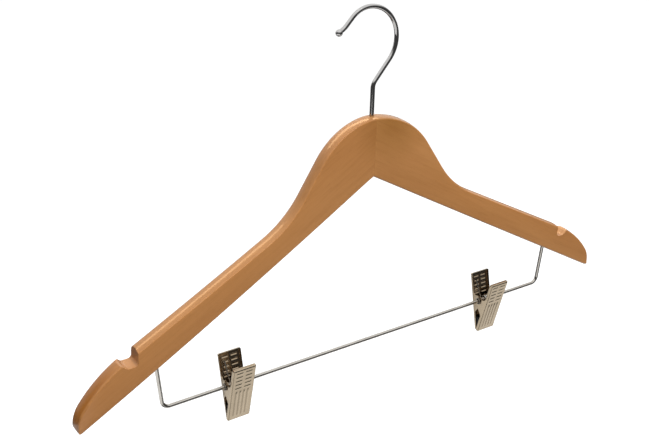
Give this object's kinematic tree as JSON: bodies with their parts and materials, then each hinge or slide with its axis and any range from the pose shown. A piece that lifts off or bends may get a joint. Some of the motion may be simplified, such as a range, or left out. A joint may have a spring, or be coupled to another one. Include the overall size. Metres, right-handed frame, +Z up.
{
  "type": "clip hanger",
  "caption": "Curved wooden clothes hanger with a swivelling wire hook, strap notches and a wire bar that carries sliding, sprung metal clips.",
  "frame": {"origin": "on the hook's swivel axis, at the inside of the hook's loop, where the hanger rests on a rail", "axes": "+X along the hanger's length, +Z up, -Y the front, towards which both arms lean"},
  "size_m": [0.443, 0.0273, 0.269],
  "materials": {
    "wood": "glossy lacquer over light brown wood",
    "chrome": "bright plated wire",
    "nickel": "warm grey nickel plate on pressed sheet",
    "steel": "zinc plated",
    "spring": "drawn spring wire",
    "rubber": "matte black"
  },
  "bodies": {
    "hanger": {"left_arm": "wood", "right_arm": "wood", "hook_washer": "steel", "trouser_bar": "chrome"},
    "hook": {"hook": "chrome", "hook_nut": "steel"},
    "left_slider": {"left_pivot_tube": "steel"},
    "left_rear": {"left_rear_jaw": "nickel", "left_rear_pad": "rubber", "left_spring": "spring"},
    "left_front": {"left_front_jaw": "nickel", "left_front_pad": "rubber"},
    "right_slider": {"right_pivot_tube": "steel"},
    "right_rear": {"right_rear_jaw": "nickel", "right_rear_pad": "rubber", "right_spring": "spring"},
    "right_front": {"right_front_jaw": "nickel", "right_front_pad": "rubber"}
  },
  "joints": [
    {"name": "hook_swivel", "type": "hinge", "parent": "hanger", "child": "hook", "pos_m": [0, 0, -0.07068], "axis": [0, 0, 1], "continuous": true},
    {"name": "left_clip_slide", "type": "slide", "parent": "hanger", "child": "left_slider", "axis": [1, 0, 0], "range_m": [-0.0386, 0.0989]},
    {"name": "left_clip_swing", "type": "hinge", "parent": "left_slider", "child": "left_rear", "pos_m": [-0.1092, -0.00846, -0.23858], "axis": [1, 0, 0], "continuous": true},
    {"name": "left_clip_open", "type": "hinge", "parent": "left_rear", "child": "left_front", "pos_m": [-0.1092, -0.00846, -0.23858], "axis": [-1, 0, 0], "range_deg": [0, 40], "stiffness_Nm_per_rad": 0.05, "springref_deg": -17.19, "deforming": ["left_spring"]},
    {"name": "right_clip_slide", "type": "slide", "parent": "hanger", "child": "right_slider", "axis": [1, 0, 0], "range_m": [-0.105, 0.0373]},
    {"name": "right_clip_swing", "type": "hinge", "parent": "right_slider", "child": "right_rear", "pos_m": [0.1153, -0.00846, -0.23858], "axis": [1, 0, 0], "continuous": true},
    {"name": "right_clip_open", "type": "hinge", "parent": "right_rear", "child": "right_front", "pos_m": [0.1153, -0.00846, -0.23858], "axis": [-1, 0, 0], "range_deg": [0, 40], "stiffness_Nm_per_rad": 0.05, "springref_deg": -17.19, "deforming": ["right_spring"]}
  ]
}
